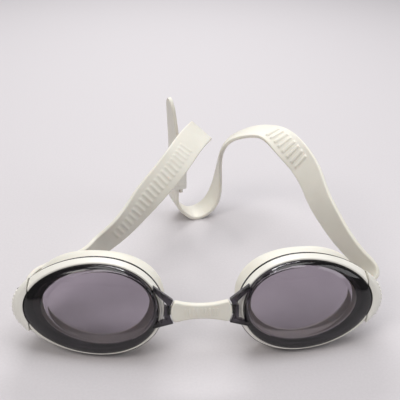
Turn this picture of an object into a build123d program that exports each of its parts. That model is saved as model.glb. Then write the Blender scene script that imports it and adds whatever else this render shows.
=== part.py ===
from build123d import *
import os
from math import copysign, cos, pi, sin

# Swim goggles, standing on a flat surface. Millimetres and degrees.
# X runs to the wearer's left, Y from the front to the back, Z up. The goggles face -Y.
# Each cup is drawn in its own frame: x to the temple, y up the cup, z out of its front, and z = 0 on the
# front face of the mounting flange. The right cup mirrors the left.

# Cups on the head frame
CUP_X = 47.1
TOE_OUT = 7.5
LEAN_BACK = 17.5

# Egg-shaped outlines of the cup: (nasal, temple, bottom, top, taper towards the temple, fullness), where a
# fullness of 1 is an oval and less is squarer
FLANGE = (-31.6, 34.0, -22.4, 22.4, 0.12, 1.0)
RIM_BACK = (-31.4, 34.2, -22.2, 22.2, 0.12, 1.0)
RIM_FRONT = (-30.7, 30.2, -20.2, 21.2, 0.10, 1.0)
WALL_BACK = (-30.2, 30.2, -20.4, 20.6, 0.12, 1.0)
WALL_SHOULDER = (-29.9, 29.0, -19.7, 20.3, 0.10, 1.0)
WINDOW = (-29.4, 20.8, -14.5, 19.0, 0.05, 1.0)
HOLLOW_BACK = (-28.5, 27.2, -18.7, 18.9, 0.12, 1.0)
GASKET_FRONT = (-31.0, 28.8, -21.4, 21.4, 0.12, 1.0)
GASKET_WAIST = (-30.0, 27.6, -20.0, 20.8, 0.10, 1.0)
GASKET_SWELL = (-30.6, 29.0, -19.5, 22.6, -0.02, 0.87)
GASKET_BACK = (-29.8, 28.0, -18.8, 22.1, -0.02, 0.87)
MOUTH = (-23.4, 24.0, -16.9, 17.4, 0.08, 1.0)
OUTLINE_POINTS = 28

# Depths along the cup's own axis
FLANGE_T = 1.2
RIM_H = 4.2
WINDOW_H = 7.2
LENS_T = 1.7
GASKET_DEPTHS = (-4.6, -9.6, -11.8)
GASKET_T = 1.8

# Temple ear with the strap slot
EAR_X = (25.0, 34.0)
EAR_Y = (-8.0, 8.4)
EAR_ROUND = 3.4
SLOT_X = (29.65, 32.15)
SLOT_Y = (-6.1, 6.5)

# Strap latch on the temple
LATCH_SEAM_X = 26.9
LATCH_LOW_SEAM = (24.9, -9.6)
LATCH_LOW_TURN = -36.9
SEAM_GAP = 0.5
LATCH_GAP = 0.25
LATCH_AXIS_X = 33.0
LATCH_AXIS_Z = 1.9
LATCH_BACK = (-31.4, 35.0, -21.9, 22.2, 0.13, 1.0)
LATCH_SIDE = (-31.3, 34.75, -21.5, 22.0, 0.13, 1.0)
LATCH_FRONT = (-30.7, 32.2, -20.0, 21.2, 0.12, 1.0)
LATCH_Z = (0.12, 2.6, 4.4)
LATCH_HEEL_R = 1.82
LATCH_HEEL_TURN = 39.0
LATCH_OPENINGS = (7.0, 14.0, 20.0)
TOOTH = (0.8, 0.35)
TOOTH_PITCH = 1.75
TOOTH_COUNT = 9
TOOTH_Z = (0.6, 3.0)
LUG_R = 0.9
LUG_Y = (1.4, 2.6)
PIN_R = 0.5
PIN_Y = 4.0

# Nose bridge and the brackets that hold it, drawn in the head frame seen from the front
BRIDGE_Y = -8.2
BRIDGE_T = 3.6
BRIDGE_END_X = 11.5
BRIDGE_TIP_X = 13.15
BRIDGE_END_H = 4.8
BRIDGE_MID_H = 3.15
BRACKET_T = 2.8
BRACKET_GAP = 0.45
BRACKET_BAR = 1.5
BRACKET_ARM = 2.2
TOP_ARM_END = (20.5, 11.6)
LOW_ARM_END = (20.5, -7.2)
BRACKET_LUG = (1.7, 5.6)
TONGUE_H = 4.4

# Strap
STRAP_W = 14.6
STRAP_T = 2.0
TAB_W = 11.6
LUG_PITCH = 4.0
LUG_SIZE = (8.6, 1.7, 0.7)
LUG_SINK = 0.4
LADDER_LUGS = 8
LADDER_START = 0.3
STRAP_STEPS = 44
LANE_GAP = 0.2

# Rear buckle sleeve, standing on end behind the straps' crest
BUCKLE_AT = (-8.0, 113.0)
BUCKLE_TURN = 17.5
BUCKLE_Z = (23.0, 36.0)
BUCKLE_WALL = 1.5
BUCKLE_BORE = (15.4, 5.0)


def egg(outline, height, grow=0.0):
    """A closed egg-shaped face at this height, tapering towards the temple."""
    nasal, temple, bottom, top, taper, fullness = outline
    middle_x, half_x = (temple + nasal) / 2, (temple - nasal) / 2 + grow
    middle_y, half_y = (top + bottom) / 2, (top - bottom) / 2 + grow
    points = []
    for step in range(OUTLINE_POINTS):
        turn = 2 * pi * step / OUTLINE_POINTS
        across = copysign(abs(cos(turn)) ** fullness, cos(turn))
        up = copysign(abs(sin(turn)) ** fullness, sin(turn))
        x = middle_x + half_x * across
        y = middle_y + half_y * up * (1 - taper * across)
        points.append((x, y, height))
    return Face(Wire([Spline(*points, periodic=True)]))


def smaller(outline, by):
    """The same outline, drawn in by this much all round."""
    nasal, temple, bottom, top, taper, fullness = outline
    return (nasal + by, temple - by, bottom + by, top - by, taper, fullness)


def box_between(x, y, z):
    """A box from its limits along each axis."""
    centre = Pos((x[0] + x[1]) / 2, (y[0] + y[1]) / 2, (z[0] + z[1]) / 2)
    return centre * Box(x[1] - x[0], y[1] - y[0], z[1] - z[0])


def rod_along_y(x, z, radius, y):
    """A round rod along the cup's y, between two heights."""
    middle = Pos(x, (y[0] + y[1]) / 2, z)
    return middle * Rot(X=90) * Cylinder(radius, y[1] - y[0])


def wall_body(grow=0.0):
    """The window and its wall as one solid lump, from the flange to the front."""
    sections = [egg(WALL_BACK, 0, grow), egg(WALL_SHOULDER, RIM_H, grow), egg(WINDOW, WINDOW_H + grow, grow)]
    return loft(sections)


def wall_hollow():
    """The inside of the window and its wall, open at the back."""
    shoulder = smaller(WALL_SHOULDER, LENS_T)
    window = smaller(WINDOW, LENS_T * 0.8)
    sections = [egg(HOLLOW_BACK, -FLANGE_T - 0.3), egg(shoulder, RIM_H - 1.6), egg(window, WINDOW_H - LENS_T)]
    return loft(sections)


def bracket_in_head_frame():
    """The two arms, the concave end bar and its lug, as one plate."""
    x, h = BRIDGE_END_X + BRACKET_GAP, BRIDGE_END_H + 0.3
    tip_x = BRIDGE_TIP_X + BRACKET_GAP
    inner_x = x + BRACKET_BAR + 0.6
    top_x, top_y = TOP_ARM_END
    low_x, low_y = LOW_ARM_END
    with BuildSketch(Plane.XZ) as plate:
        with BuildLine():
            ThreePointArc((x, -h), (tip_x, 0), (x, h))
            Polyline((x, h), (top_x, top_y), (top_x, top_y - BRACKET_ARM), (inner_x, h - BRACKET_ARM))
            ThreePointArc((inner_x, h - BRACKET_ARM), (tip_x + BRACKET_BAR, 0), (inner_x, BRACKET_ARM - h))
            Polyline((inner_x, BRACKET_ARM - h), (low_x, low_y + BRACKET_ARM), (low_x, low_y), (x, -h))
        make_face()
    front = BRIDGE_Y - BRACKET_T / 2
    plate_solid = Pos(0, BRIDGE_Y + BRACKET_T / 2, 0) * extrude(plate.sketch, BRACKET_T)
    lug_w, lug_h = BRACKET_LUG
    lug_x = tip_x + BRACKET_BAR - 0.8
    lug = box_between((lug_x, lug_x + lug_w), (front, front + BRACKET_T), (-lug_h / 2, lug_h / 2))
    return plate_solid + lug


def cup_to_head():
    """Where the left cup's own frame sits in the upright head frame."""
    across = (cos(TOE_OUT * pi / 180), sin(TOE_OUT * pi / 180), 0)
    outward = (sin(TOE_OUT * pi / 180), -cos(TOE_OUT * pi / 180), 0)
    return Plane(origin=(CUP_X, 0, 0), x_dir=across, z_dir=outward).location


def temple_lugs():
    """Two lugs on the ear that hold the latch pin."""
    lugs = []
    for side in (-1, 1):
        span = sorted((side * LUG_Y[0], side * LUG_Y[1]))
        foot = box_between((LATCH_AXIS_X - LUG_R, LATCH_AXIS_X + LUG_R), span, (-0.2, LATCH_AXIS_Z))
        lugs.append(foot + rod_along_y(LATCH_AXIS_X, LATCH_AXIS_Z, LUG_R, span))
    return lugs


def lens(bracket):
    """The tinted eyecup: window, wall, flange, temple ear with its slot and lugs, nasal bracket."""
    flange = extrude(egg(FLANGE, -FLANGE_T), FLANGE_T)
    ear = box_between(EAR_X, EAR_Y, (-FLANGE_T, 0))
    ear = fillet(ear.edges().filter_by(Axis.Z).group_by(Axis.X)[-1], EAR_ROUND)
    body = wall_body() + flange + ear + bracket
    for lug in temple_lugs():
        body += lug
    body -= wall_hollow()
    body -= box_between(SLOT_X, SLOT_Y, (-FLANGE_T - 1, 1))
    return body - latch_pin()


def latch_bay(gap):
    """The room for the latch: outside the upper seam and above the slanted lower seam."""
    outer = box_between((LATCH_SEAM_X + gap, 60), (-60, 60), (-1, 20))
    above = Pos(*LATCH_LOW_SEAM) * Rot(Z=LATCH_LOW_TURN) * box_between((-60, 60), (gap, 90), (-1, 20))
    return outer & above


def rim(bracket):
    """The white front band, open at the temple where the latch sits."""
    band = loft([egg(RIM_BACK, 0), egg(RIM_FRONT, RIM_H)], ruled=True) - wall_body()
    return band - latch_bay(0) - bracket


def latch_lump(grow=0.0):
    """The latch's outer shape, with a steep side and a rounded-over front."""
    low, side, front = LATCH_Z
    lump = loft([egg(LATCH_BACK, low, grow), egg(LATCH_SIDE, side, grow)], ruled=True)
    return lump + loft([egg(LATCH_SIDE, side, grow), egg(LATCH_FRONT, front, grow)], ruled=True)


def at_latch_axis(turn):
    """Turns a shape drawn round the latch's axis, and puts it there."""
    return Pos(LATCH_AXIS_X, 0, LATCH_AXIS_Z) * Rot(Y=turn)


def latch_heel():
    """What is cut from under the outer edge, so that it clears the ear as the latch opens."""
    below = at_latch_axis(LATCH_HEEL_TURN) * box_between((0, 12), (-30, 30), (-12, 0))
    outer = box_between((LATCH_AXIS_X, 60), (-30, 30), (-9, 9))
    return (below & outer) - rod_along_y(LATCH_AXIS_X, LATCH_AXIS_Z, LATCH_HEEL_R, (-30, 30))


def teeth():
    """The row of thumb teeth along the latch's outer edge."""
    width, height = TOOTH
    slabs = []
    for index in range(TOOTH_COUNT):
        middle = (index - (TOOTH_COUNT - 1) / 2) * TOOTH_PITCH
        slabs.append(box_between((LATCH_AXIS_X - 1, 60), (middle - width / 2, middle + width / 2), TOOTH_Z))
    return latch_lump(height) & Compound(slabs)


def latch():
    """The strap lock: a crescent between the wall and the temple edge, turning on its pin."""
    body = latch_lump() & latch_bay(SEAM_GAP)
    for tooth in teeth().solids():
        body += tooth
    wall = wall_body(LATCH_GAP)
    body -= wall
    there, back = at_latch_axis(0), at_latch_axis(0).inverse()
    for opening in LATCH_OPENINGS:
        body -= there * Rot(Y=-opening) * back * wall
    body -= latch_heel()
    room = LUG_R + LATCH_GAP
    for side in (-1, 1):
        span = sorted((side * (LUG_Y[0] - LATCH_GAP), side * (LUG_Y[1] + LATCH_GAP)))
        body -= rod_along_y(LATCH_AXIS_X, LATCH_AXIS_Z, room, span)
        body -= box_between((LATCH_AXIS_X - room, LATCH_AXIS_X + room), span, (-1, LATCH_AXIS_Z))
        turned = box_between((-room, room), span, (-4, 0))
        body -= at_latch_axis(-LATCH_OPENINGS[-1]) * turned
    return body - rod_along_y(LATCH_AXIS_X, LATCH_AXIS_Z, PIN_R + 0.05, (-20, PIN_Y + 0.2))


def latch_pin():
    return rod_along_y(LATCH_AXIS_X, LATCH_AXIS_Z, PIN_R, (-PIN_Y, PIN_Y))


def gasket():
    """The face seal: a waisted tube with an inward lip at the back."""
    waist_z, lip_z, back_z = GASKET_DEPTHS
    outlines = (GASKET_FRONT, GASKET_WAIST, GASKET_SWELL, GASKET_BACK)
    depths = (-FLANGE_T, waist_z, lip_z, back_z)
    rings = [egg(outline, depth) for outline, depth in zip(outlines, depths)]
    bores = [egg(smaller(outline, GASKET_T), depth) for outline, depth in zip(outlines, depths)]
    outer = loft(rings[0:2], ruled=True)
    outer += loft(rings[1:3], ruled=True)
    outer += loft(rings[2:4], ruled=True)
    inner = loft(bores[0:2], ruled=True)
    inner += loft(bores[1:3], ruled=True)
    mouth = extrude(egg(MOUTH, back_z - 1), lip_z - back_z + 2)
    return outer - inner - mouth


def nose_bridge():
    """The soft bridge, with a snap tongue behind each bracket bar."""
    right, left = (BRIDGE_END_X, BRIDGE_END_H), (-BRIDGE_END_X, BRIDGE_END_H)
    low_right, low_left = (BRIDGE_END_X, -BRIDGE_END_H), (-BRIDGE_END_X, -BRIDGE_END_H)
    with BuildSketch(Plane.XZ) as face:
        with BuildLine():
            ThreePointArc(left, (0, BRIDGE_MID_H), right)
            ThreePointArc(right, (BRIDGE_TIP_X, 0), low_right)
            ThreePointArc(low_right, (0, -BRIDGE_MID_H), low_left)
            ThreePointArc(low_left, (-BRIDGE_TIP_X, 0), left)
        make_face()
    body = Pos(0, BRIDGE_Y + BRIDGE_T / 2, 0) * extrude(face.sketch, BRIDGE_T)
    body = fillet(body.edges().group_by(Axis.Y)[0], 0.9)
    back = BRIDGE_Y + BRIDGE_T / 2
    for side in (-1, 1):
        reach = sorted((side * 9.0, side * 14.9))
        body += box_between(reach, (back - 0.2, back + 1.0), (-TONGUE_H / 2, TONGUE_H / 2))
    return body


def head_to_stand(lift):
    """Leans the upright head frame back and lifts it onto the surface."""
    return Pos(0, 0, lift) * Rot(X=-LEAN_BACK)


def slot_point(stand, side, depth):
    """The middle of a temple's strap slot at this depth, on the wearer's left (1) or right (-1)."""
    local = Pos((SLOT_X[0] + SLOT_X[1]) / 2, (SLOT_Y[0] + SLOT_Y[1]) / 2, depth)
    point = (stand * cup_to_head() * local).position
    return (side * point.X, point.Y, point.Z)


def strap_path(stand, side, route):
    """A smooth line that leaves the slot straight back and then follows the route."""
    start = [slot_point(stand, side, depth) for depth in (-0.3, -2.2, -4.1, -6.0)]
    return Spline(*start, *route)


def blend_between(keys, share):
    """The value at this share of a path, blended between (share, value) keys."""
    after = next(i for i, key in enumerate(keys) if key[0] >= share)
    low, high = keys[max(after - 1, 0)], keys[after]
    gap = high[0] - low[0]
    mix = (share - low[0]) / gap if gap else 0.0
    return tuple(a + (b - a) * mix for a, b in zip(low[1], high[1]))


def strap_plane(path, facing, share):
    """The strap's own plane at this share: x across it, y out of its inner face, z along it."""
    along = path % share
    across = Vector(*blend_between(facing, share))
    across = (across - along * across.dot(along)).normalized()
    return Plane(origin=path @ share, x_dir=across, z_dir=along)


def ribbon(path, facing, widths):
    """A flat strap of constant thickness along a path, with its width at each share of the path."""
    sections = []
    for step in range(STRAP_STEPS + 1):
        share = step / STRAP_STEPS
        (width,) = blend_between(widths, share)
        sections.append(strap_plane(path, facing, share) * Rectangle(width, STRAP_T))
    return loft(sections, ruled=True)


def ladder(path, facing):
    """The raised lugs across the inner face of the ladder half."""
    lugs = []
    across, along, high = LUG_SIZE
    for index in range(LADDER_LUGS):
        share = LADDER_START + index * LUG_PITCH / path.length
        plane = strap_plane(path, facing, share)
        rise = Pos(0, -STRAP_T / 2 - high / 2 + LUG_SINK / 2, 0)
        lugs.append(plane * rise * Box(across, high + LUG_SINK, along))
    return lugs


def strap_left(stand):
    """The ladder half: over its arch, down to the surface, and up through the buckle to the free tail."""
    lane = buckle_lane(-1)
    route = [
        (78.4, 13.6, 18.6),
        (80.3, 18.6, 22.4),
        (77.9, 22.8, 26.2),
        (74.5, 26.8, 29.8),
        (70.3, 31.8, 34.0),
        (65.4, 40.5, 40.0),
        (61.4, 49.8, 46.0),
        (58.9, 59.9, 52.0),
        (54.9, 72.9, 57.0),
        (50.4, 82.5, 60.0),
        (42.6, 98.0, 61.3),
        (33.4, 105.8, 58.2),
        (25.5, 110.6, 53.0),
        (20.4, 114.6, 45.0),
        (18.4, 117.6, 33.0),
        (17.4, 118.6, 20.0),
        (14.2, 118.0, 8.6),
        (8.0, 116.6, 2.4),
        (1.4, 115.2, 1.15),
        (-4.0, 114.0, 4.6),
        (lane[0] + 0.2, lane[1], 12.0),
        (lane[0], lane[1], 22.0),
        (lane[0], lane[1], 34.0),
        (lane[0], lane[1], 46.0),
        (lane[0] - 0.6, lane[1], 60.0),
        (lane[0] - 2.2, lane[1], 76.0),
    ]
    facing = [
        (0.0, (0.0, 0.3, 0.95)),
        (0.045, (0.35, -0.1, 0.93)),
        (0.065, (0.35, -0.5, 0.8)),
        (0.1, (0.12, -0.6, 0.79)),
        (0.18, (0.33, -0.4, 0.85)),
        (0.25, (0.52, -0.24, 0.82)),
        (0.31, (0.55, 0.0, 0.8)),
        (0.35, (0.75, 0.3, 0.6)),
        (0.38, (0.8, 0.55, 0.35)),
        (0.41, (0.73, 0.67, 0.15)),
        (0.455, (0.51, 0.86, 0.05)),
        (0.49, (0.42, 0.91, -0.05)),
        (0.56, (0.1, 0.99, 0.0)),
        (0.65, (-0.3, 0.954, 0.0)),
        (1.0, (-0.3, 0.954, 0.0)),
    ]
    widths = [
        (0.0, (TAB_W,)),
        (0.025, (TAB_W,)),
        (0.06, (STRAP_W,)),
        (0.96, (STRAP_W,)),
        (0.985, (11.0,)),
        (1.0, (6.5,)),
    ]
    path = strap_path(stand, 1, route)
    body = ribbon(path, facing, widths)
    for lug in ladder(path, facing):
        body += lug
    return body


def strap_right(stand):
    """The plain half: behind its cup, up to the crest, over it and down into the buckle."""
    lane = buckle_lane(1)
    route = [
        (-76.5, 14.6, 19.9),
        (-74.9, 19.6, 21.5),
        (-72.3, 23.9, 22.3),
        (-67.6, 27.2, 23.5),
        (-61.8, 29.6, 24.6),
        (-55.4, 32.0, 25.6),
        (-50.5, 35.5, 26.3),
        (-47.4, 38.6, 27.2),
        (-37.8, 43.4, 33.2),
        (-31.4, 47.2, 38.6),
        (-24.0, 52.4, 46.0),
        (-15.6, 59.6, 53.2),
        (-8.2, 68.8, 58.8),
        (-2.9, 78.6, 62.0),
        (2.6, 89.6, 63.6),
        (5.4, 97.8, 62.4),
        (4.6, 104.2, 58.0),
        (0.2, 109.0, 52.0),
        (-5.6, 112.0, 46.4),
        (lane[0] + 0.3, lane[1], 39.0),
        (lane[0], lane[1], 31.0),
        (lane[0], lane[1], 20.0),
    ]
    facing = [
        (0.0, (0.0, -0.3, -0.95)),
        (0.04, (0.0, -0.1, -1.0)),
        (0.1, (0.0, 0.55, -0.8)),
        (0.2, (0.05, 0.6, -0.8)),
        (0.27, (0.28, 0.44, -0.85)),
        (0.34, (0.38, 0.39, -0.84)),
        (0.39, (0.55, 0.31, -0.78)),
        (0.44, (0.66, 0.04, -0.75)),
        (0.507, (0.69, -0.11, -0.71)),
        (0.573, (0.76, -0.21, -0.61)),
        (0.632, (0.8, -0.3, -0.52)),
        (0.73, (0.75, -0.3, -0.58)),
        (0.864, (0.35, -0.92, -0.15)),
        (0.91, (0.3, -0.954, 0.0)),
        (1.0, (0.3, -0.954, 0.0)),
    ]
    widths = [(0.0, (TAB_W,)), (0.03, (TAB_W,)), (0.07, (STRAP_W,)), (1.0, (STRAP_W,))]
    return ribbon(strap_path(stand, -1, route), facing, widths)


def buckle_lane(side):
    """Where a strap half stands inside the buckle, on its +X side (1) or its -X side (-1)."""
    offset = side * (STRAP_T + LANE_GAP) / 2
    turn = BUCKLE_TURN * pi / 180
    return (BUCKLE_AT[0] + offset * cos(turn), BUCKLE_AT[1] + offset * sin(turn))


def rear_buckle():
    """The sleeve that holds the two strap ends side by side."""
    bore_w, bore_t = BUCKLE_BORE
    low, high = BUCKLE_Z
    tall = high - low
    outside = Box(bore_t + 2 * BUCKLE_WALL, bore_w + 2 * BUCKLE_WALL, tall)
    outside = fillet(outside.edges().filter_by(Axis.Z), BUCKLE_WALL)
    outside = chamfer(outside.edges().group_by(Axis.Z)[-1] + outside.edges().group_by(Axis.Z)[0], 0.5)
    sleeve = outside - Box(bore_t, bore_w, tall + 2)
    return Pos(BUCKLE_AT[0], BUCKLE_AT[1], (low + high) / 2) * Rot(Z=BUCKLE_TURN) * sleeve


def lowest(solids):
    return min(solid.bounding_box().min.Z for solid in solids)


def build():
    """Every node at its place, with the origin under the middle of the whole object."""
    to_head = cup_to_head()
    bracket = bracket_in_head_frame()
    bracket_in_cup = to_head.inverse() * bracket
    cup = {
        "lens": lens(bracket_in_cup),
        "rim": rim(bracket_in_cup),
        "gasket": gasket(),
        "latch": latch(),
        "latch_pin": latch_pin(),
    }
    leaned = {name: head_to_stand(0) * to_head * solid for name, solid in cup.items()}
    stand = head_to_stand(-lowest(leaned.values()))
    nodes = {"nose_bridge": stand * nose_bridge()}
    for name, solid in cup.items():
        placed = stand * to_head * solid
        nodes[name + "_left"] = placed
        nodes[name + "_right"] = mirror(placed, about=Plane.YZ)
    nodes["strap_left"] = strap_left(stand)
    nodes["strap_right"] = strap_right(stand)
    nodes["rear_buckle"] = rear_buckle()
    return nodes


def main():
    os.makedirs("parts", exist_ok=True)
    nodes = build()
    front = min(solid.bounding_box().min.Y for solid in nodes.values())
    back = max(solid.bounding_box().max.Y for solid in nodes.values())
    to_origin = Pos(0, -(front + back) / 2, 0)
    for name, solid in nodes.items():
        export_step(to_origin * solid, "parts/" + name + ".step")


main()
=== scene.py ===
from math import cos, pi, radians, sin

import bmesh
import bpy
import numpy as np
from mathutils import Matrix, Vector


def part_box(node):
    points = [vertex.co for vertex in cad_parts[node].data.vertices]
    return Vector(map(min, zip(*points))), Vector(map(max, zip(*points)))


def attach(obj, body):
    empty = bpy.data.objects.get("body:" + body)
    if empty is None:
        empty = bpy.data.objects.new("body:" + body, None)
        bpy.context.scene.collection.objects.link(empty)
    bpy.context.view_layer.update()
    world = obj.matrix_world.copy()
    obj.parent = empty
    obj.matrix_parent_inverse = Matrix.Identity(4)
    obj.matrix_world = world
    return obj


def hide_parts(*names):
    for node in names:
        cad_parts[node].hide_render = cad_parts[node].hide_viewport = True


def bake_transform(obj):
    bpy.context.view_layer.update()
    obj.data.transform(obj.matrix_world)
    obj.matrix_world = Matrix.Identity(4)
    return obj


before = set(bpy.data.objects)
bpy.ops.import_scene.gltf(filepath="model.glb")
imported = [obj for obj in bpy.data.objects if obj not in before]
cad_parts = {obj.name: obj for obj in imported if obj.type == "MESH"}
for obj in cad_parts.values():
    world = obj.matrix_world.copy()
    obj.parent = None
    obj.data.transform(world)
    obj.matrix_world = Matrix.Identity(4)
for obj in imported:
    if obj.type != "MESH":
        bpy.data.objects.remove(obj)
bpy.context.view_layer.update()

# Millimetres and degrees. Every piece is modelled in its own frame: the left cup's (x to the temple,
# y up the cup, z out of its front, z = 0 on the flange), the upright head frame (x to the wearer's left,
# y back, z up), or the standing frame, which is the row frame with y counted from the cups' middle.
MM = 0.001
CUP_X = 47.1
TOE_OUT = 7.5
LEAN_BACK = 17.5

# Egg-shaped outlines: (nasal, temple, bottom, top, taper towards the temple, fullness), where a
# fullness under 1 is squarer
FLANGE = (-31.6, 34.0, -22.4, 22.4, 0.12, 1.0)
RIM_BACK = (-31.4, 34.2, -22.2, 22.2, 0.12, 1.0)
RIM_FRONT = (-30.7, 30.2, -20.2, 21.2, 0.10, 1.0)
LATCH_BACK = (-31.4, 35.0, -21.9, 22.2, 0.13, 1.0)
LATCH_SIDE = (-31.3, 34.75, -21.5, 22.0, 0.13, 1.0)
LATCH_FRONT = (-30.7, 32.2, -20.0, 21.2, 0.12, 1.0)
WALL_BACK = (-30.2, 30.2, -20.4, 20.6, 0.12, 1.0)
WALL_SHOULDER = (-29.9, 29.0, -19.7, 20.3, 0.10, 1.0)
WINDOW = (-29.4, 20.8, -14.5, 19.0, 0.05, 1.0)
WINDOW_FACE = (-28.7, 17.6, -12.9, 18.3, 0.05, 1.0)
HOLLOW_BACK = (-28.5, 27.2, -18.7, 18.9, 0.12, 1.0)
GASKET_FRONT = (-31.0, 28.8, -21.4, 21.4, 0.12, 1.0)
GASKET_WAIST = (-30.0, 27.6, -20.0, 20.8, 0.10, 1.0)
GASKET_SWELL = (-30.6, 29.0, -19.5, 22.6, -0.02, 0.87)
GASKET_BACK = (-29.8, 28.0, -18.8, 22.1, -0.02, 0.87)
MOUTH = (-23.4, 24.0, -16.9, 17.4, 0.08, 1.0)
FLANGE_T = 1.2
RIM_H = 4.2
WINDOW_EDGE = 6.4
WINDOW_H = 7.2
LENS_T = 1.7
RING = 176

# Ear, latch, pin and slot on the temple
EAR_X = (25.0, 34.0)
EAR_Y = (-8.0, 8.4)
EAR_ROUND = 3.4
AXIS_X, AXIS_Z = 33.0, 1.9
LATCH_SEAM_X = 26.9
LATCH_LOW_SEAM = (24.9, -9.6)
LATCH_LOW_TURN = -36.9
SEAM_GAP = 0.5
LATCH_OPENINGS = (7, 14, 20)
LATCH_GAP = 0.25
HEEL_TURN = 39
HEEL_R = 1.82
TOOTH_W = 0.8
TOOTH_H = 0.35
TOOTH_PITCH = 1.75
TOOTH_Z = (0.6, 3.0)
PIN_R = 0.49
PIN_Y = (-4.0, 4.0)
LUG_BORE_R = 0.51
LATCH_BORE_R = 0.56
LUG_R = 0.9
LUG_Y = (1.4, 2.6)
SLOT_X = (29.65, 32.15)
SLOT_Y = (-6.1, 6.5)

# Strap
STRAP_W = 14.6
STRAP_T = 2.0
TAB_W = 11.6
LANE = 1.1
STRAP_EDGE_R = 0.62
INNER_POINTS = 33
BUCKLE_SIZE = (8.0, 18.4)
BUCKLE_WALL = 1.5
BUCKLE_ROUND = 1.6
BUCKLE_AT = (-8.0, 113.0)
BUCKLE_TURN = 17.5
BUCKLE_Z = (23.0, 36.0)


# ---------------------------------------------------------------- frames


def cup_frame():
    """The left cup's frame in the row frame, found from its latch pin, which lies along the cup's y axis."""
    toe, lean = radians(TOE_OUT), radians(LEAN_BACK)
    across = Vector((cos(toe), sin(toe) * cos(lean), -sin(toe) * sin(lean)))
    up = Vector((0, sin(lean), cos(lean)))
    out = across.cross(up)
    low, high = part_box("latch_pin_left")
    origin = (low + high) / 2 - (across * AXIS_X + out * AXIS_Z) * MM
    return Matrix.Translation(origin) @ Matrix((across, up, out)).transposed().to_4x4() @ Matrix.Scale(MM, 4)


def head_frame(cup):
    """The upright head frame, leaned back, in the row frame."""
    origin = cup.translation - Vector((CUP_X * MM, 0, 0))
    return Matrix.Translation(origin) @ Matrix.Rotation(radians(-LEAN_BACK), 4, "X") @ Matrix.Scale(MM, 4)


CUP = cup_frame()
HEAD = head_frame(CUP)
STAND = Matrix.Translation((0, CUP.translation.y, 0)) @ Matrix.Scale(MM, 4)
CUP_IN_HEAD = HEAD.inverted() @ CUP
BRIDGE_PLANE = Matrix(((1, 0, 0, 0), (0, 0, -1, -8.2), (0, 1, 0, 0), (0, 0, 0, 1)))


# ---------------------------------------------------------------- mesh tools


def mesh_object(name, points, faces):
    mesh = bpy.data.meshes.new(name)
    mesh.from_pydata([tuple(p) for p in points], [], faces)
    mesh.validate()
    obj = bpy.data.objects.new(name, mesh)
    bpy.context.scene.collection.objects.link(obj)
    return obj


def face_outwards(obj):
    bm = bmesh.new()
    bm.from_mesh(obj.data)
    bmesh.ops.recalc_face_normals(bm, faces=bm.faces)
    bm.to_mesh(obj.data)
    bm.free()
    return obj


def skin(name, rings, closed):
    """A mesh through rings of equal count: a closed band, or a solid whose two end rings are capped."""
    count = len(rings[0])
    points = np.concatenate(rings)
    faces = []
    last = len(rings) if closed else len(rings) - 1
    for i in range(last):
        a, b = i * count, ((i + 1) % len(rings)) * count
        for j in range(count):
            k = (j + 1) % count
            faces.append((a + j, a + k, b + k, b + j))
    if not closed:
        faces.append(tuple(range(count)))
        faces.append(tuple(range(last * count, (last + 1) * count)))
    return face_outwards(mesh_object(name, points, faces))


def apply_modifiers(obj):
    graph = bpy.context.evaluated_depsgraph_get()
    mesh = bpy.data.meshes.new_from_object(obj.evaluated_get(graph))
    obj.modifiers.clear()
    obj.data = mesh
    return obj


def cut_or_join(obj, other, operation):
    """A boolean with another piece, which is used up."""
    step = obj.modifiers.new("boolean", "BOOLEAN")
    step.operation = operation
    step.solver = "EXACT"
    step.object = other
    apply_modifiers(obj)
    bpy.data.objects.remove(other)
    return obj


def block(x, y, z):
    """A cutting block from its limits along each axis."""
    points = [(a, b, c) for a in x for b in y for c in z]
    faces = [(0, 1, 3, 2), (4, 6, 7, 5), (0, 4, 5, 1), (2, 3, 7, 6), (0, 2, 6, 4), (1, 5, 7, 3)]
    return face_outwards(mesh_object("block", points, faces))


def plate(name, outline, low, high, bevel, to=None):
    """A flat plate from its outline in x and y, between two heights, with every edge rounded."""
    rings = [np.array([(x, y, z) for x, y in outline]) for z in (low, high)]
    obj = skin(name, rings, closed=False)
    if bevel:
        bm = bmesh.new()
        bm.from_mesh(obj.data)
        edges = [e for e in bm.edges if e.calc_face_angle(0) > 0.5]
        bmesh.ops.bevel(
            bm, geom=edges, offset=bevel, segments=4, profile=0.5, affect="EDGES", clamp_overlap=True
        )
        bm.to_mesh(obj.data)
        bm.free()
    if to is not None:
        obj.data.transform(to)
    return obj


def arc(centre, radius, start, end, steps):
    """Points along an arc, in degrees."""
    turns = [radians(start + (end - start) * i / steps) for i in range(steps + 1)]
    return [(centre[0] + radius * cos(t), centre[1] + radius * sin(t)) for t in turns]


def through(a, middle, b, steps):
    """Points along the circular arc through three points."""
    ax, ay = a
    bx, by = middle
    cx, cy = b
    d = 2 * (ax * (by - cy) + bx * (cy - ay) + cx * (ay - by))
    aa, bb, cc = ax**2 + ay**2, bx**2 + by**2, cx**2 + cy**2
    ux = (aa * (by - cy) + bb * (cy - ay) + cc * (ay - by)) / d
    uy = (aa * (cx - bx) + bb * (ax - cx) + cc * (bx - ax)) / d
    start, mid, end = (np.arctan2(p[1] - uy, p[0] - ux) for p in (a, middle, b))
    end = start + (end - start + pi) % (2 * pi) - pi
    mid = start + (mid - start + pi) % (2 * pi) - pi
    if (mid - start) * (end - start) < 0 or abs(mid - start) > abs(end - start):
        end += 2 * pi if end < start else -2 * pi
    radius = np.hypot(ax - ux, ay - uy)
    turns = np.linspace(start, end, steps + 1)
    return [(ux + radius * np.cos(t), uy + radius * np.sin(t)) for t in turns]


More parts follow.
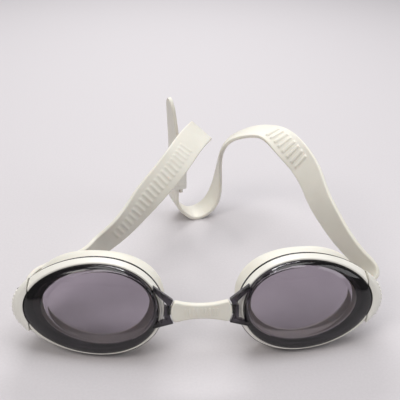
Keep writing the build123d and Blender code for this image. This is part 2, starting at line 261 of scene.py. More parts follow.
def rod(name, radius, span, bevel, x, z, steps=40):
    """A round rod along the cup's y axis with rounded ends."""
    end = [(0.0, radius - bevel), (bevel * 0.3, radius - bevel * 0.3), (bevel, radius)]
    stations = [(span[0] + inset, r) for inset, r in end]
    stations += [(span[1] - inset, r) for inset, r in reversed(end)]
    turn = np.linspace(0, 2 * pi, steps, endpoint=False)
    rings = []
    for y, r in stations:
        rings.append(np.column_stack([x + r * np.cos(turn), np.full(steps, y), z + r * np.sin(turn)]))
    return skin(name, rings, closed=False)


def soften(obj, voxel, rounds):
    """Fuses and rounds a small moulding: an even remesh, then a little smoothing."""
    step = obj.modifiers.new("even", "REMESH")
    step.mode = "VOXEL"
    step.voxel_size = voxel
    step.use_smooth_shade = True
    step = obj.modifiers.new("round", "SMOOTH")
    step.factor = 0.5
    step.iterations = rounds
    return apply_modifiers(obj)


def smooth_shading(obj, angle=40):
    """Smooth shading that keeps real creases, weighted towards the large faces."""
    for face in obj.data.polygons:
        face.use_smooth = True
    obj.data.set_sharp_from_angle(angle=radians(angle))
    step = obj.modifiers.new("weighted", "WEIGHTED_NORMAL")
    step.keep_sharp = True
    return obj


# ---------------------------------------------------------------- egg-shaped bands


def row(outline, depth, grow=0.0):
    """One profile point of a band round the cup: an outline, let out by grow, and its depth."""
    nasal, temple, bottom, top, taper, fullness = outline
    return np.array([nasal - grow, temple + grow, bottom - grow, top + grow, taper, depth, fullness])


def ring(profile_row):
    nasal, temple, bottom, top, taper, depth, fullness = profile_row
    turn = np.linspace(0, 2 * pi, RING, endpoint=False)
    across = np.sign(np.cos(turn)) * np.abs(np.cos(turn)) ** fullness
    rise = np.sign(np.sin(turn)) * np.abs(np.sin(turn)) ** fullness
    x = (temple + nasal) / 2 + (temple - nasal) / 2 * across
    y = (top + bottom) / 2 + (top - bottom) / 2 * rise * (1 - taper * across)
    return np.column_stack([x, y, np.full(RING, depth)])


def step_length(a, b):
    """How far apart two profile points are, as a mean round the cup."""
    return float(np.sqrt(np.mean((a[:4] - b[:4]) ** 2) + (a[5] - b[5]) ** 2))


def rounded(rows, radii, closed, steps=5):
    """The profile with each corner replaced by a smooth curve that starts this far from the corner."""
    made = []
    for i, here in enumerate(rows):
        radius = radii[i]
        inner = closed or 0 < i < len(rows) - 1
        if not radius or not inner:
            made.append(here)
            continue
        before, after = rows[i - 1], rows[(i + 1) % len(rows)]
        near = here + (before - here) * min(0.48, radius / step_length(here, before))
        far = here + (after - here) * min(0.48, radius / step_length(here, after))
        for step in range(steps + 1):
            t = step / steps
            made.append((1 - t) ** 2 * near + 2 * t * (1 - t) * here + t * t * far)
    return made


def band(name, rows, radii):
    """A closed band whose section is this profile."""
    return skin(name, [ring(r) for r in rounded(rows, radii, True)], closed=True)


def wall_row(t, grow=0.0):
    """A point up the eyecup's wall: 0 at the flange, 1 at the window's edge, curving through the shoulder."""
    low = row(WALL_BACK, 0, grow)
    mid = row(WALL_SHOULDER, RIM_H, grow)
    high = row(WINDOW, WINDOW_EDGE, grow)
    m = 0.5
    return low * (t - m) * (t - 1) / m + mid * t * (t - 1) / (m * (m - 1)) + high * t * (t - m) / (1 - m)


def drawn_in(profile_row, share, rise=0.0):
    """A profile point drawn in towards the middle of its outline by this share."""
    made = profile_row.copy()
    for low, high in ((0, 1), (2, 3)):
        middle = (made[low] + made[high]) / 2
        made[low] += (middle - made[low]) * share
        made[high] += (middle - made[high]) * share
    made[5] += rise
    return made


# ---------------------------------------------------------------- the cup's pieces


def bracket(grow=0.0, bevel=0.4):
    """The nasal bracket: two arms, a concave end bar and its lug, in the cup's frame."""
    x, h, tip = 11.95 - grow, 5.1 + grow, 13.6 - grow
    inner, bar, arm = 14.05, 1.5, 2.2
    top, low = (20.5, 11.6 + grow), (20.5, -7.2 - grow)
    outline = through((x, -h), (tip, 0), (x, h), 12)
    outline += [top, (top[0], top[1] - arm - 2 * grow), (inner + 0.1, h - arm - 2 * grow)]
    outline += through((inner, h - arm - grow), (tip + bar, 0), (inner, arm + grow - h), 12)[1:-1]
    outline += [(inner + 0.1, arm + 2 * grow - h), (low[0], low[1] + arm + 2 * grow), low]
    half, place = 1.4, CUP_IN_HEAD.inverted() @ BRIDGE_PLANE
    obj = plate("bracket", outline, -half - grow, half + grow, bevel, place)
    lug_outline = [(14.3, -2.8), (16.0, -2.8), (16.0, 2.8), (14.3, 2.8)]
    lug = plate("lug", lug_outline, -half, half, bevel, place)
    return cut_or_join(obj, lug, "UNION")


def lens_outside():
    """The eyecup as a solid lump: window with its bevelled edge, wall and flange."""
    face = row(WINDOW_FACE, WINDOW_H)
    rows = [drawn_in(face, 0.93, 0.2), drawn_in(face, 0.6, 0.17), drawn_in(face, 0.3, 0.1), face]
    rows += [row(WINDOW, WINDOW_EDGE)]
    rows += [wall_row(t) for t in (0.93, 0.84, 0.72, 0.6, 0.48, 0.36, 0.24, 0.12)]
    rows += [wall_row(0.0), row(FLANGE, 0), row(FLANGE, -FLANGE_T), row(HOLLOW_BACK, -FLANGE_T, -2)]
    radii = [0, 0, 0, 0.25, 0.3] + [0] * 8 + [0.3, 0.3, 0.3, 0]
    return skin("lens", [ring(r) for r in rounded(rows, radii, False, 3)], closed=False)


def lens_inside():
    """The hollow behind the window."""
    inner_wall = [wall_row(t, -LENS_T) for t in (0.0, 0.2, 0.4, 0.6, 0.78)]
    for r in inner_wall:
        r[5] -= 0.9
    inner_wall[0] = row(HOLLOW_BACK, -0.6)
    rows = [row(HOLLOW_BACK, -4.0), row(HOLLOW_BACK, -FLANGE_T)] + inner_wall
    rows += [row(WINDOW, WINDOW_H - LENS_T, -LENS_T * 0.8)]
    rows += [drawn_in(row(WINDOW, WINDOW_H - LENS_T + 0.2), 0.5)]
    radii = [0, 0, 0, 0, 0, 0, 0, 0.9, 0]
    return skin("hollow", [ring(r) for r in rounded(rows, radii, False, 4)], closed=False)


def lens():
    """The tinted eyecup in one moulding: window, wall, flange, temple ear, pin lugs and nasal bracket."""
    body = lens_outside()
    (near, far), (low, high) = EAR_X, EAR_Y
    outline = [(near, low)] + arc((far - EAR_ROUND, low + EAR_ROUND), EAR_ROUND, -90, 0, 6)
    outline += arc((far - EAR_ROUND, high - EAR_ROUND), EAR_ROUND, 0, 90, 6) + [(near, high)]
    cut_or_join(body, plate("ear", outline, -FLANGE_T, 0.0, 0.2), "UNION")
    for side in (-1, 1):
        span = sorted((side * LUG_Y[0], side * LUG_Y[1]))
        foot = block((AXIS_X - LUG_R, AXIS_X + LUG_R), span, (-0.3, AXIS_Z))
        cut_or_join(body, foot, "UNION")
        cut_or_join(body, rod("lug", LUG_R, span, 0.1, AXIS_X, AXIS_Z), "UNION")
    cut_or_join(body, bracket(), "UNION")
    cut_or_join(body, lens_inside(), "DIFFERENCE")
    cut_or_join(body, block(SLOT_X, SLOT_Y, (-3, 1)), "DIFFERENCE")
    cut_or_join(body, rod("bore", LUG_BORE_R, (-7, 7), 0.05, AXIS_X, AXIS_Z), "DIFFERENCE")
    return body


def on_window(centre):
    """1 for a face of the window itself, inside or outside, and 0 for the wall round it, which takes the
    darker tint with painted shade.
    """
    if centre.z < 4.9:
        return 0
    nasal, temple, bottom, top, taper, _ = WINDOW
    x = (centre.x - (temple + nasal) / 2) / ((temple - nasal) / 2 - 0.1)
    if abs(x) >= 1:
        return 0
    reach = ((top - bottom) / 2 - 0.1) * (1 - x * x) ** 0.5 * (1 - taper * x)
    return int(abs(centre.y - (top + bottom) / 2) < reach)


def band_on_wall(name, outside, radii, low_gap, top_gap):
    """A band that hugs the eyecup's wall, from its outside rows over its front and down the wall."""
    high, low = outside[-1][5], outside[0][5]
    hug = []
    for t in (0.5, 0.375, 0.25, 0.125, 0.0):
        hug.append(wall_row(t, top_gap + (low_gap - top_gap) * (1 - 2 * t)))
    hug[0][5] = high
    hug[-1][5] = low
    return band(name, outside + hug, radii + [0.35, 0, 0, 0, 0.2])


def latch_bay(gap):
    """The room for the latch: outside the upper seam and above the slanted lower seam."""
    outer = block((LATCH_SEAM_X + gap, 60), (-60, 60), (-2, 20))
    above = block((-60, 60), (gap, 90), (-3, 21))
    turn = Matrix.Rotation(radians(LATCH_LOW_TURN), 4, "Z")
    above.data.transform(Matrix.Translation((*LATCH_LOW_SEAM, 0)) @ turn)
    return cut_or_join(outer, above, "INTERSECT")


def rim():
    """The white front band, open at the temple and let in round the bracket's arms."""
    outside = [row(RIM_BACK, 0.03), row(RIM_FRONT, RIM_H)]
    obj = band_on_wall("rim", outside, [0.25, 0.5], 0.05, 0.05)
    cut_or_join(obj, latch_bay(0), "DIFFERENCE")
    cut_or_join(obj, bracket(0.08, 0.0), "DIFFERENCE")
    return obj


def latch_band(grow):
    outside = [row(LATCH_BACK, 0.15, grow), row(LATCH_SIDE, 2.6, grow), row(LATCH_FRONT, 4.4, grow)]
    return band_on_wall("latch", outside, [0.25, 1.0, 0.5], 0.6, 0.25)


def at_axis(obj, turn):
    """Moves a shape drawn round the latch's axis to its place, turned by this many degrees."""
    place = Matrix.Translation((AXIS_X, 0, AXIS_Z)) @ Matrix.Rotation(radians(turn), 4, "Y")
    obj.data.transform(place)
    return obj


def turned_wall(opening):
    """The eyecup's wall, as the latch meets it when open by this many degrees."""
    rows = [row(WALL_BACK, -3.0, 0.3)] + [wall_row(t, 0.3) for t in (0.0, 0.25, 0.5, 0.75, 1.0)]
    obj = skin("wall", [ring(r) for r in rows], closed=False)
    axis = Matrix.Translation((AXIS_X, 0, AXIS_Z))
    obj.data.transform(axis @ Matrix.Rotation(radians(-opening), 4, "Y") @ axis.inverted())
    return obj


def latch():
    """The strap lock: a crescent with thumb teeth along its outer edge, turning on its pin."""
    obj = cut_or_join(latch_band(0.0), latch_bay(SEAM_GAP), "INTERSECT")
    for opening in LATCH_OPENINGS:
        cut_or_join(obj, turned_wall(opening), "DIFFERENCE")
    for index in range(-4, 5):
        middle = index * TOOTH_PITCH
        slab = block((AXIS_X - 1, 60), (middle - TOOTH_W / 2, middle + TOOTH_W / 2), TOOTH_Z)
        cut_or_join(slab, latch_band(TOOTH_H), "INTERSECT")
        cut_or_join(obj, slab, "UNION")
    heel = at_axis(block((0, 12), (-30, 30), (-12, 0)), HEEL_TURN)
    cut_or_join(heel, block((AXIS_X, 60), (-29, 29), (-9, 9)), "INTERSECT")
    cut_or_join(heel, rod("heel", HEEL_R, (-31, 31), 0.1, AXIS_X, AXIS_Z), "DIFFERENCE")
    cut_or_join(obj, heel, "DIFFERENCE")
    room = LUG_R + LATCH_GAP
    for side in (-1, 1):
        span = sorted((side * (LUG_Y[0] - LATCH_GAP), side * (LUG_Y[1] + LATCH_GAP)))
        cut_or_join(obj, rod("room", room, span, 0.01, AXIS_X, AXIS_Z), "DIFFERENCE")
        cut_or_join(obj, block((AXIS_X - room, AXIS_X + room), span, (-1, AXIS_Z)), "DIFFERENCE")
        cut_or_join(obj, at_axis(block((-room, room), span, (-4, 0)), -LATCH_OPENINGS[-1]), "DIFFERENCE")
    cut_or_join(obj, rod("bore", LATCH_BORE_R, (-20, 4.2), 0.05, AXIS_X, AXIS_Z), "DIFFERENCE")
    return soften(obj, 0.1, 2)


def latch_pin():
    return rod("latch_pin", PIN_R, PIN_Y, 0.12, AXIS_X, AXIS_Z)


def gasket():
    """The face seal: a waisted silicone tube that turns inwards to a soft lip at the back."""
    thick = 1.8
    rows = [
        row(GASKET_FRONT, -FLANGE_T - 0.02),
        row(GASKET_FRONT, -2.2, -0.1),
        row(GASKET_WAIST, -4.6),
        row(GASKET_SWELL, -9.4),
        row(GASKET_BACK, -11.8),
        row(MOUTH, -11.7, 0.2),
        row(MOUTH, -10.4, 0.1),
        row(GASKET_SWELL, -9.8, -thick),
        row(GASKET_WAIST, -4.6, -thick),
        row(GASKET_FRONT, -FLANGE_T - 0.02, -thick),
    ]
    return band("gasket", rows, [0.2, 1.0, 2.0, 1.6, 1.3, 0.7, 0.7, 1.2, 2.0, 0.2])


# ---------------------------------------------------------------- the nose bridge


def nose_bridge():
    """The soft bridge: concave long sides, convex ends, a tongue behind each bar, grip ribs in front."""
    outline = through((11.5, 4.8), (0, 3.15), (-11.5, 4.8), 22)[:-1]
    outline += through((-11.5, 4.8), (-13.15, 0), (-11.5, -4.8), 12)[:-1]
    outline += through((-11.5, -4.8), (0, -3.15), (11.5, -4.8), 22)[:-1]
    outline += through((11.5, -4.8), (13.15, 0), (11.5, 4.8), 12)[:-1]
    body = plate("nose_bridge", outline, -1.8, 1.8, 0.95, BRIDGE_PLANE)
    for side in (-1, 1):
        reach = sorted((side * 8.6, side * 14.9))
        tongue = [(reach[0], -2.2), (reach[1], -2.2), (reach[1], 2.2), (reach[0], 2.2)]
        cut_or_join(body, plate("tongue", tongue, -2.75, -1.6, 0.3, BRIDGE_PLANE), "UNION")
    for index in range(-4, 5):
        middle, half_length, radius = index * 1.7, 1.35, 0.38
        shape = arc((middle, half_length), radius, 0, 180, 8)
        shape += arc((middle, -half_length), radius, 180, 360, 8)
        cut_or_join(body, plate("rib", shape, 1.5, 2.02, 0.16, BRIDGE_PLANE), "UNION")
    return body


# ---------------------------------------------------------------- the strap


def spline_through(points, spacing):
    """Points at an even spacing along the natural cubic spline through these points."""
    p = np.array(points, float)
    t = np.concatenate([[0], np.cumsum(np.linalg.norm(np.diff(p, axis=0), axis=1))])
    n, h = len(p), np.diff(t)
    matrix, right = np.eye(n), np.zeros((n, 3))
    for i in range(1, n - 1):
        matrix[i, i - 1 : i + 2] = h[i - 1], 2 * (h[i - 1] + h[i]), h[i]
        right[i] = 6 * ((p[i + 1] - p[i]) / h[i] - (p[i] - p[i - 1]) / h[i - 1])
    bend = np.linalg.solve(matrix, right)
    fine = np.linspace(0, t[-1], 6000)
    k = np.clip(np.searchsorted(t, fine, side="right") - 1, 0, n - 2)
    a, b, w = (t[k + 1] - fine)[:, None], (fine - t[k])[:, None], h[k][:, None]
    line = (bend[k] * a**3 + bend[k + 1] * b**3) / (6 * w)
    line += (p[k] / w - bend[k] * w / 6) * a + (p[k + 1] / w - bend[k + 1] * w / 6) * b
    run = np.concatenate([[0], np.cumsum(np.linalg.norm(np.diff(line, axis=0), axis=1))])
    count = int(round(run[-1] / spacing))
    even = np.linspace(0, run[-1], count + 1)
    return np.column_stack([np.interp(even, run, line[:, i]) for i in range(3)]), even


def eased(keys, share):
    """Values at these shares of the path, blended between (share, value) keys."""
    at = [k[0] for k in keys]
    values = np.array([k[1] for k in keys], float).reshape(len(keys), -1)
    return np.column_stack([np.interp(share, at, values[:, i]) for i in range(values.shape[1])])


def calm(values, width):
    """A moving average along the path, with the ends held."""
    pad = np.concatenate([np.repeat(values[:1], width, 0), values, np.repeat(values[-1:], width, 0)])
    kernel = np.ones(2 * width + 1) / (2 * width + 1)
    return np.column_stack([np.convolve(pad[:, i], kernel, "valid") for i in range(values.shape[1])])


def strap_section(width, thick):
    """The strap's section: the inner face's points, then round the edges and back."""
    radius = STRAP_EDGE_R
    across = np.linspace(-width / 2 + radius, width / 2 - radius, INNER_POINTS)
    inner = [(x, -thick / 2) for x in across]
    edge = arc((width / 2 - radius, -thick / 2 + radius), radius, -90, 0, 4)[1:]
    edge += arc((width / 2 - radius, thick / 2 - radius), radius, 0, 90, 4)
    outer = [(x, thick / 2) for x in np.linspace(width / 2 - radius, -width / 2 + radius, 13)][1:-1]
    back = arc((-width / 2 + radius, thick / 2 - radius), radius, 90, 180, 4)
    back += arc((-width / 2 + radius, -thick / 2 + radius), radius, 180, 270, 4)[:-1]
    return np.array(inner + edge + outer + back)


def bump(value, low, high, soft):
    """1 between two limits, easing to 0 outside them over the soft width."""
    rise = np.clip((value - low) / soft + 0.5, 0, 1)
    fall = np.clip((high - value) / soft + 0.5, 0, 1)
    t = rise * fall
    return t * t * (3 - 2 * t)


def strap(name, route, facing, widths, relief, spacing=0.42):
    """A flat strap along its route, with raised lugs or ribs on its inner face."""
    path, run = spline_through(route, spacing)
    share = run / run[-1]
    along = np.gradient(path, axis=0)
    along /= np.linalg.norm(along, axis=1)[:, None]
    across = calm(eased(facing, share), 8)
    across -= along * np.sum(across * along, axis=1)[:, None]
    across /= np.linalg.norm(across, axis=1)[:, None]
    out = np.cross(along, across)
    width = calm(eased(widths, share), 3)[:, 0]
    width *= tip_shape(run, widths)
    rings = []
    for i in range(len(path)):
        section = strap_section(max(width[i], 1.6), STRAP_T)
        section[:INNER_POINTS, 1] -= relief(run[i], section[:INNER_POINTS, 0])
        rings.append(path[i] + section[:, :1] * across[i] + section[:, 1:] * out[i])
    return skin(name, rings, closed=False)


def tip_shape(run, widths):
    """How much of the width is left near a rounded free end, and 1 everywhere else."""
    if widths[-1][1] > 10:
        return np.ones(len(run))
    left = np.clip((run[-1] - run) / 7.0, 0, 1)
    return np.sqrt(np.clip(1 - (1 - left) ** 2, 0.02, 1))


def slot_points(side):
    """Where a strap half starts, in the middle of its slot and straight back from it."""
    middle = [(SLOT_X[0] + SLOT_X[1]) / 2, (SLOT_Y[0] + SLOT_Y[1]) / 2]
    points = [STAND.inverted() @ CUP @ Vector((*middle, z)) for z in (-0.3, -2.2, -4.1, -6.0)]
    return [(side * p.x, p.y, p.z) for p in points]


def lane(side):
    """Where a strap half stands inside the buckle, on its +X side (1) or its -X side (-1)."""
    turn = radians(BUCKLE_TURN)
    return BUCKLE_AT[0] + side * LANE * cos(turn), BUCKLE_AT[1] + side * LANE * sin(turn)


def ladder_lugs(run, x):
    """Eight raised lugs across the inner face."""
    made = np.zeros(len(x))
    for index in range(8):
        middle = 84.5 + index * 4.0
        made += 0.7 * bump(run, middle - 0.85, middle + 0.85, 0.7) * bump(np.abs(x), -9, 4.3, 0.7)
    return made


def grip_ribs(run, x):
    """A plain row of short ribs along the middle of the inner face."""
    made = np.zeros(len(x))
    for index in range(21):
        middle = 62.0 + index * 2.9
        made += 0.34 * bump(run, middle - 0.6, middle + 0.6, 0.6) * bump(np.abs(x), -9, 3.4, 0.7)
    return made


def strap_left():
    """The ladder half: over its arch, down to the surface, and up through the buckle to the free tail."""
    x, y = lane(-1)
    route = slot_points(1) + [
        (78.4, 13.6, 18.6),
        (80.3, 18.6, 22.4),
        (77.9, 22.8, 26.2),
        (74.5, 26.8, 29.8),
        (70.3, 31.8, 34.0),
        (65.4, 40.5, 40.0),
        (61.4, 49.8, 46.0),
        (58.9, 59.9, 52.0),
        (54.9, 72.9, 57.0),
        (50.4, 82.5, 60.0),
        (42.6, 98.0, 61.3),
        (33.4, 105.8, 58.2),
        (25.5, 110.6, 53.0),
        (20.4, 114.6, 45.0),
        (18.4, 117.6, 33.0),
        (17.4, 118.6, 20.0),
        (14.2, 118.0, 8.6),
        (8.0, 116.6, 2.4),
        (1.4, 115.2, 1.15),
        (-4.0, 114.0, 4.6),
        (x + 0.2, y, 12.0),
        (x, y, 22.0),
        (x, y, 34.0),
        (x, y, 46.0),
        (x - 0.6, y, 60.0),
        (x - 2.2, y, 76.0),
    ]
    facing = [
        (0.0, (0.0, 0.3, 0.95)),
        (0.045, (0.35, -0.1, 0.93)),
        (0.065, (0.35, -0.5, 0.8)),
        (0.1, (0.12, -0.6, 0.79)),
        (0.18, (0.33, -0.4, 0.85)),
        (0.25, (0.52, -0.24, 0.82)),
        (0.31, (0.55, 0.0, 0.8)),
        (0.35, (0.75, 0.3, 0.6)),
        (0.38, (0.8, 0.55, 0.35)),
        (0.41, (0.73, 0.67, 0.15)),
        (0.455, (0.51, 0.86, 0.05)),
        (0.49, (0.42, 0.91, -0.05)),
        (0.56, (0.1, 0.99, 0.0)),
        (0.65, (-0.3, 0.954, 0.0)),
        (1.0, (-0.3, 0.954, 0.0)),
    ]
    widths = [(0.0, TAB_W), (0.025, TAB_W), (0.06, STRAP_W), (0.94, STRAP_W), (1.0, 9.8)]
    return strap("strap_left", route, facing, widths, ladder_lugs)


def strap_right():
    """The plain half: behind its cup, up to the crest, over it and down into the buckle."""
    x, y = lane(1)
    route = slot_points(-1) + [
        (-76.5, 14.6, 19.9),
        (-74.9, 19.6, 21.5),
        (-72.3, 23.9, 22.3),
        (-67.6, 27.2, 23.5),
        (-61.8, 29.6, 24.6),
        (-55.4, 32.0, 25.6),
        (-50.5, 35.5, 26.3),
        (-47.4, 38.6, 27.2),
        (-37.8, 43.4, 33.2),
        (-31.4, 47.2, 38.6),
        (-24.0, 52.4, 46.0),
        (-15.6, 59.6, 53.2),
        (-8.2, 68.8, 58.8),
        (-2.9, 78.6, 62.0),
        (2.6, 89.6, 63.6),
        (5.4, 97.8, 62.4),
        (4.6, 104.2, 58.0),
        (0.2, 109.0, 52.0),
        (-5.6, 112.0, 46.4),
        (x + 0.3, y, 39.0),
        (x, y, 31.0),
        (x, y, 20.0),
    ]
    facing = [
        (0.0, (0.0, -0.3, -0.95)),
        (0.04, (0.0, -0.1, -1.0)),
        (0.1, (0.0, 0.55, -0.8)),
        (0.2, (0.05, 0.6, -0.8)),
        (0.27, (0.28, 0.44, -0.85)),
        (0.34, (0.38, 0.39, -0.84)),
        (0.39, (0.55, 0.31, -0.78)),
        (0.44, (0.66, 0.04, -0.75)),
        (0.507, (0.69, -0.11, -0.71)),
        (0.573, (0.76, -0.21, -0.61)),
        (0.632, (0.8, -0.3, -0.52)),
        (0.73, (0.75, -0.3, -0.58)),
        (0.864, (0.35, -0.92, -0.15)),
        (0.91, (0.3, -0.954, 0.0)),
        (1.0, (0.3, -0.954, 0.0)),
    ]
    widths = [(0.0, TAB_W), (0.03, TAB_W), (0.07, STRAP_W), (1.0, STRAP_W)]
    return strap("strap_right", route, facing, widths, grip_ribs)


def rounded_rectangle(width, depth, radius):
    """A rounded rectangle round the origin, as rows of x and y."""
    x, y = width / 2 - radius, depth / 2 - radius
    points = arc((x, y), radius, 0, 90, 8) + arc((-x, y), radius, 90, 180, 8)
    points += arc((-x, -y), radius, 180, 270, 8) + arc((x, -y), radius, 270, 360, 8)
    return points


def rear_buckle():
    """The sleeve at the back that holds the two strap ends side by side."""
    low, high = BUCKLE_Z
    x_size, y_size = BUCKLE_SIZE
    soft = 0.45
    thick = BUCKLE_WALL
    profile = [(0.0, low + soft), (soft * 0.3, low + soft * 0.3), (soft, low), (thick - soft, low)]
    profile += [(thick - soft * 0.3, low + soft * 0.3), (thick, low + soft), (thick, high - soft)]
    profile += [(thick - soft * 0.3, high - soft * 0.3), (thick - soft, high), (soft, high)]
    profile += [(soft * 0.3, high - soft * 0.3), (0.0, high - soft)]
    rings = []
    for inset, z in profile:
        shape = rounded_rectangle(x_size - 2 * inset, y_size - 2 * inset, BUCKLE_ROUND - inset * 0.8)
        rings.append(np.array([(x, y, z) for x, y in shape]))
    obj = skin("rear_buckle", rings, closed=True)
    for z in (low + 3.0, high - 3.0):
        bead = []
        for grow, rise in ((-0.5, -0.6), (0.12, -0.35), (0.22, 0.0), (0.12, 0.35), (-0.5, 0.6)):
            shape = rounded_rectangle(x_size + 2 * grow, y_size + 2 * grow, BUCKLE_ROUND + grow)
            bead.append(np.array([(x, y, z + rise) for x, y in shape]))
        cut_or_join(obj, skin("bead", bead, closed=True), "UNION")
    obj.data.transform(Matrix.Translation((*BUCKLE_AT, 0)) @ Matrix.Rotation(radians(BUCKLE_TURN), 4, "Z"))
    return obj


# ---------------------------------------------------------------- materials


def new_material(name):
    material = bpy.data.materials.new(name)
    material.use_nodes = True
    return material, material.node_tree, material.node_tree.nodes["Principled BSDF"]


def noise(tree, scale, detail, roughness=0.5):
    """A 3-D noise in the piece's own coordinates, in features per metre."""
    where = tree.nodes.new("ShaderNodeTexCoord")
    made = tree.nodes.new("ShaderNodeTexNoise")
    made.inputs["Scale"].default_value = scale
    made.inputs["Detail"].default_value = detail
    made.inputs["Roughness"].default_value = roughness
    tree.links.new(where.outputs["Object"], made.inputs["Vector"])
    return made


def between(tree, source, low, high):
    """The source's value mapped to between two numbers."""
    made = tree.nodes.new("ShaderNodeMapRange")
    made.inputs["From Min"].default_value = 0.3
    made.inputs["From Max"].default_value = 0.7
    made.inputs["To Min"].default_value = low
    made.inputs["To Max"].default_value = high
    tree.links.new(source, made.inputs["Value"])
    return made.outputs["Result"]


def mottle(tree, source, low, high):
    """A colour that drifts between two close shades."""
    made = tree.nodes.new("ShaderNodeValToRGB")
    made.color_ramp.elements[0].position = 0.3
    made.color_ramp.elements[1].position = 0.7
    made.color_ramp.elements[0].color = (*low, 1)
    made.color_ramp.elements[1].color = (*high, 1)
    tree.links.new(source, made.inputs["Fac"])
    return made.outputs["Color"]


def bumped(tree, source, strength, distance):
    made = tree.nodes.new("ShaderNodeBump")
    made.inputs["Strength"].default_value = strength
    made.inputs["Distance"].default_value = distance
    tree.links.new(source, made.inputs["Height"])
    return made.outputs["Normal"]


def silicone():
    """Matte warm white silicone: faint clouding, a very fine moulded grain and a little light inside it."""
    material, tree, shader = new_material("white_silicone")
    cloud, grain = noise(tree, 60, 3), noise(tree, 2600, 2)
    colour = mottle(tree, cloud.outputs["Fac"], (0.76, 0.735, 0.655), (0.82, 0.80, 0.725))
    tree.links.new(colour, shader.inputs["Base Color"])
    tree.links.new(between(tree, cloud.outputs["Fac"], 0.44, 0.56), shader.inputs["Roughness"])
    tree.links.new(bumped(tree, grain.outputs["Fac"], 0.18, 0.00006), shader.inputs["Normal"])
    shader.inputs["IOR"].default_value = 1.41
    shader.inputs["Subsurface Weight"].default_value = 0.18
    shader.inputs["Subsurface Radius"].default_value = (1.0, 0.8, 0.6)
    shader.inputs["Subsurface Scale"].default_value = 0.0012
    return material


def white_plastic():
    """Satin warm white plastic, harder and a little glossier than the silicone."""
    material, tree, shader = new_material("white_plastic")
    cloud, grain = noise(tree, 90, 3), noise(tree, 3400, 2)
    colour = mottle(tree, cloud.outputs["Fac"], (0.79, 0.775, 0.71), (0.845, 0.83, 0.77))
    tree.links.new(colour, shader.inputs["Base Color"])
    tree.links.new(between(tree, cloud.outputs["Fac"], 0.3, 0.4), shader.inputs["Roughness"])
    tree.links.new(bumped(tree, grain.outputs["Fac"], 0.12, 0.00004), shader.inputs["Normal"])
    shader.inputs["IOR"].default_value = 1.49
    return material


def smoke_lens(name, tint):
    """Glossy smoke-tinted clear plastic; each face it is on colours the light that passes by this much."""
    material, tree, shader = new_material(name)
    haze = noise(tree, 140, 3)
    tree.links.new(between(tree, haze.outputs["Fac"], 0.015, 0.045), shader.inputs["Roughness"])
    light = tuple(min(1.0, c * 1.06) for c in tint)
    tree.links.new(mottle(tree, haze.outputs["Fac"], tint, light), shader.inputs["Base Color"])
    shader.inputs["Transmission Weight"].default_value = 1.0
    shader.inputs["IOR"].default_value = 1.5
    return material


def pin_steel():
    """Drawn steel for the latch pins, with fine scratches along them."""
    material, tree, shader = new_material("pin_steel")
    scratches = noise(tree, 5000, 2)
    colour = mottle(tree, scratches.outputs["Fac"], (0.5, 0.5, 0.51), (0.66, 0.66, 0.67))
    tree.links.new(colour, shader.inputs["Base Color"])
    tree.links.new(between(tree, scratches.outputs["Fac"], 0.22, 0.38), shader.inputs["Roughness"])
    shader.inputs["Metallic"].default_value = 1.0
    return material


def floor_paper():
    """The pale studio floor."""
    material, tree, shader = new_material("floor_paper")
    fibre = noise(tree, 900, 4)
    colour = mottle(tree, fibre.outputs["Fac"], (0.60, 0.575, 0.595), (0.63, 0.605, 0.625))
    tree.links.new(colour, shader.inputs["Base Color"])
    tree.links.new(bumped(tree, fibre.outputs["Fac"], 0.1, 0.0001), shader.inputs["Normal"])
    shader.inputs["Roughness"].default_value = 0.75
    return material


# ---------------------------------------------------------------- putting it together


def finished(obj, name, node, materials, place, mirrored=False, angle=40):
    """Names a piece, puts it in the row frame, gives it its material, and lets it stand for its CAD node."""
    obj.name = name
    obj.data.materials.clear()
    for material in materials:
        obj.data.materials.append(material)
    if len(materials) > 1:
        # Window faces take the second material; wall faces take the first, darker one, whose tint is painted
        # shade.
        chosen = [on_window(face.center) for face in obj.data.polygons]
        obj.data.polygons.foreach_set("material_index", chosen)
    obj.data.transform(place)
    if mirrored:
        obj.data.transform(Matrix.Scale(-1, 4, (1, 0, 0)))
        obj.data.flip_normals()
    smooth_shading(obj, angle)
    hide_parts(node)
    return obj


def twin(obj):
    copy = obj.copy()
    copy.data = obj.data.copy()
    bpy.context.scene.collection.objects.link(copy)
    return copy


def add_cups(clear, plastic, soft, steel):
    parts = [
        (lens(), "lens", clear, "smoke_lens", "cup"),
        (rim(), "rim", [plastic], "white_plastic", "cup"),
        (gasket(), "gasket", [soft], "white_silicone", "cup"),
        (latch_pin(), "latch_pin", [steel], "pin_steel", "cup"),
        (latch(), "latch", [plastic], "white_plastic", "latch"),
    ]
    for obj, stem, materials, slot, body in parts:
        other = twin(obj)
        for piece, side in ((obj, "left"), (other, "right")):
            node = stem + "_" + side
            finished(piece, "vis_" + node, node, materials, CUP, side == "right")
            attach(piece, body + "_" + side)


def add_straps(soft):
    for build, side in ((strap_left, "left"), (strap_right, "right")):
        node = "strap_" + side
        piece = finished(build(), "vis_" + node, node, [soft], STAND)
        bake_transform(piece)


def add_floor():
    size, steps, depth = 3.0, 24, -0.00002
    at = np.linspace(-size, size, steps + 1)
    points = [(x, y, depth) for y in at for x in at]
    faces = []
    for j in range(steps):
        for i in range(steps):
            a = j * (steps + 1) + i
            faces.append((a, a + 1, a + steps + 2, a + steps + 1))
    floor = mesh_object("floor", points, faces)
    floor.data.materials.append(floor_paper())


def add_light(name, place, aim, size, power, tone=(1, 1, 1)):
    data = bpy.data.lights.new(name, "AREA")
    data.shape = "RECTANGLE"
    data.size, data.size_y = size
    data.energy = power
    data.color = tone
    obj = bpy.data.objects.new(name, data)
    obj.location = place
    obj.rotation_euler = (Vector(aim) - Vector(place)).to_track_quat("-Z", "Y").to_euler()
    bpy.context.scene.collection.objects.link(obj)


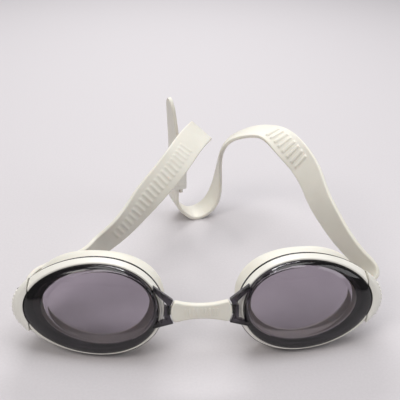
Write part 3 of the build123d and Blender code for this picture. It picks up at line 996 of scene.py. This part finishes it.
def add_studio():
    add_light("overhead", (0.05, 0.1, 0.95), (0, 0.0, 0.02), (0.9, 0.7), 6.0)
    add_light("key", (-0.6, -0.55, 0.9), (0, 0, 0.02), (0.45, 0.45), 4.0, (1.0, 0.97, 0.92))
    add_light("window", (0.0, 0.75, 0.62), (0, 0, 0.03), (0.5, 0.16), 3.2)
    add_light("fill", (0.9, -0.3, 0.6), (0, 0, 0.03), (0.6, 0.6), 2.2, (0.98, 0.985, 1.0))
    world = bpy.data.worlds.new("studio")
    world.use_nodes = True
    world.node_tree.nodes["Background"].inputs["Color"].default_value = (0.9, 0.88, 0.9, 1)
    world.node_tree.nodes["Background"].inputs["Strength"].default_value = 0.22
    bpy.context.scene.world = world


def add_camera():
    """The viewpoint: almost straight in front, looking down 29 degrees from a quarter of a metre away."""
    yaw, pitch, roll = radians(3.85), radians(29.0), radians(1.05)
    forward = Vector((sin(yaw) * cos(pitch), cos(yaw) * cos(pitch), -sin(pitch)))
    level = Vector((cos(yaw), -sin(yaw), 0))
    rise = level.cross(forward)
    right = level * cos(roll) + rise * sin(roll)
    up = rise * cos(roll) - level * sin(roll)
    data = bpy.data.cameras.new("camera")
    data.lens, data.sensor_width = 57.6, 36.0
    data.clip_start, data.clip_end = 0.01, 20
    camera = bpy.data.objects.new("camera", data)
    place = STAND @ Vector((-16.0, -223.1, 197.9))
    camera.matrix_world = Matrix.Translation(place) @ Matrix((right, up, -forward)).transposed().to_4x4()
    bpy.context.scene.collection.objects.link(camera)
    bpy.context.scene.camera = camera


def write_sizes():
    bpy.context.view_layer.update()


def build():
    # Wall and window are one smoke plastic. The wall's far darker tint is painted shade, so that the wall
    # reads near black.
    wall_painted_shade_tint, window_tint = (0.05, 0.043, 0.055), (0.36, 0.32, 0.37)
    clear = [smoke_lens("smoke_wall_painted_shade", wall_painted_shade_tint), smoke_lens("smoke_window", window_tint)]
    plastic, soft, steel = white_plastic(), silicone(), pin_steel()
    add_cups(clear, plastic, soft, steel)
    add_straps(soft)
    bridge = finished(nose_bridge(), "vis_nose_bridge", "nose_bridge", [soft], HEAD)
    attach(bridge, "root")
    buckle = finished(rear_buckle(), "vis_rear_buckle", "rear_buckle", [plastic], STAND)
    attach(buckle, "root")
    add_floor()
    add_studio()
    add_camera()
    bpy.context.scene.view_settings.view_transform = "Standard"
    write_sizes()


build()
